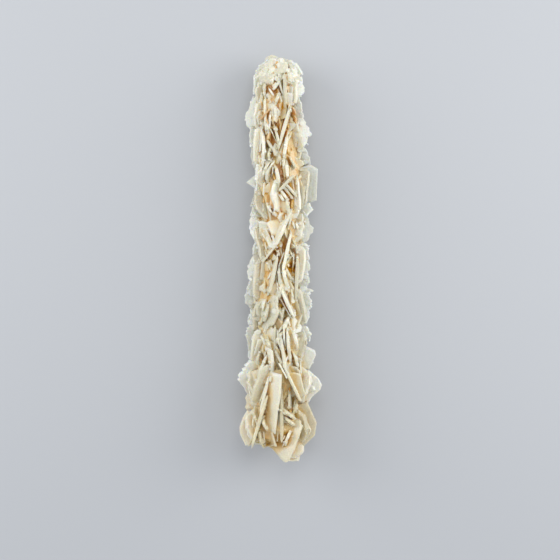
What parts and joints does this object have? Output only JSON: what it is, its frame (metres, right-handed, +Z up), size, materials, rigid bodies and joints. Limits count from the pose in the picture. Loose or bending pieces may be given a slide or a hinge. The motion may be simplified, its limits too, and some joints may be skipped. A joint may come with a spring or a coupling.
{
  "type": "barite crystal column",
  "caption": "Slender column of intergrown cream tabular barite crystals standing edge outwards round one core, with a domed top and a flared foot, lying on its back",
  "frame": {"origin": "on the floor, under the middle of the column's length and width as it lies on its back", "axes": "+Y runs up the column from its foot to its domed top, +Z is up and out of the column's front, +X is its right side seen from the front"},
  "size_m": [0.0329, 0.1601, 0.0295],
  "materials": {
    "barite": "milky, vitreous to pearly, cream white with orange-brown recesses"
  },
  "bodies": {
    "root": {"barite_column": "barite"}
  },
  "joints": []
}
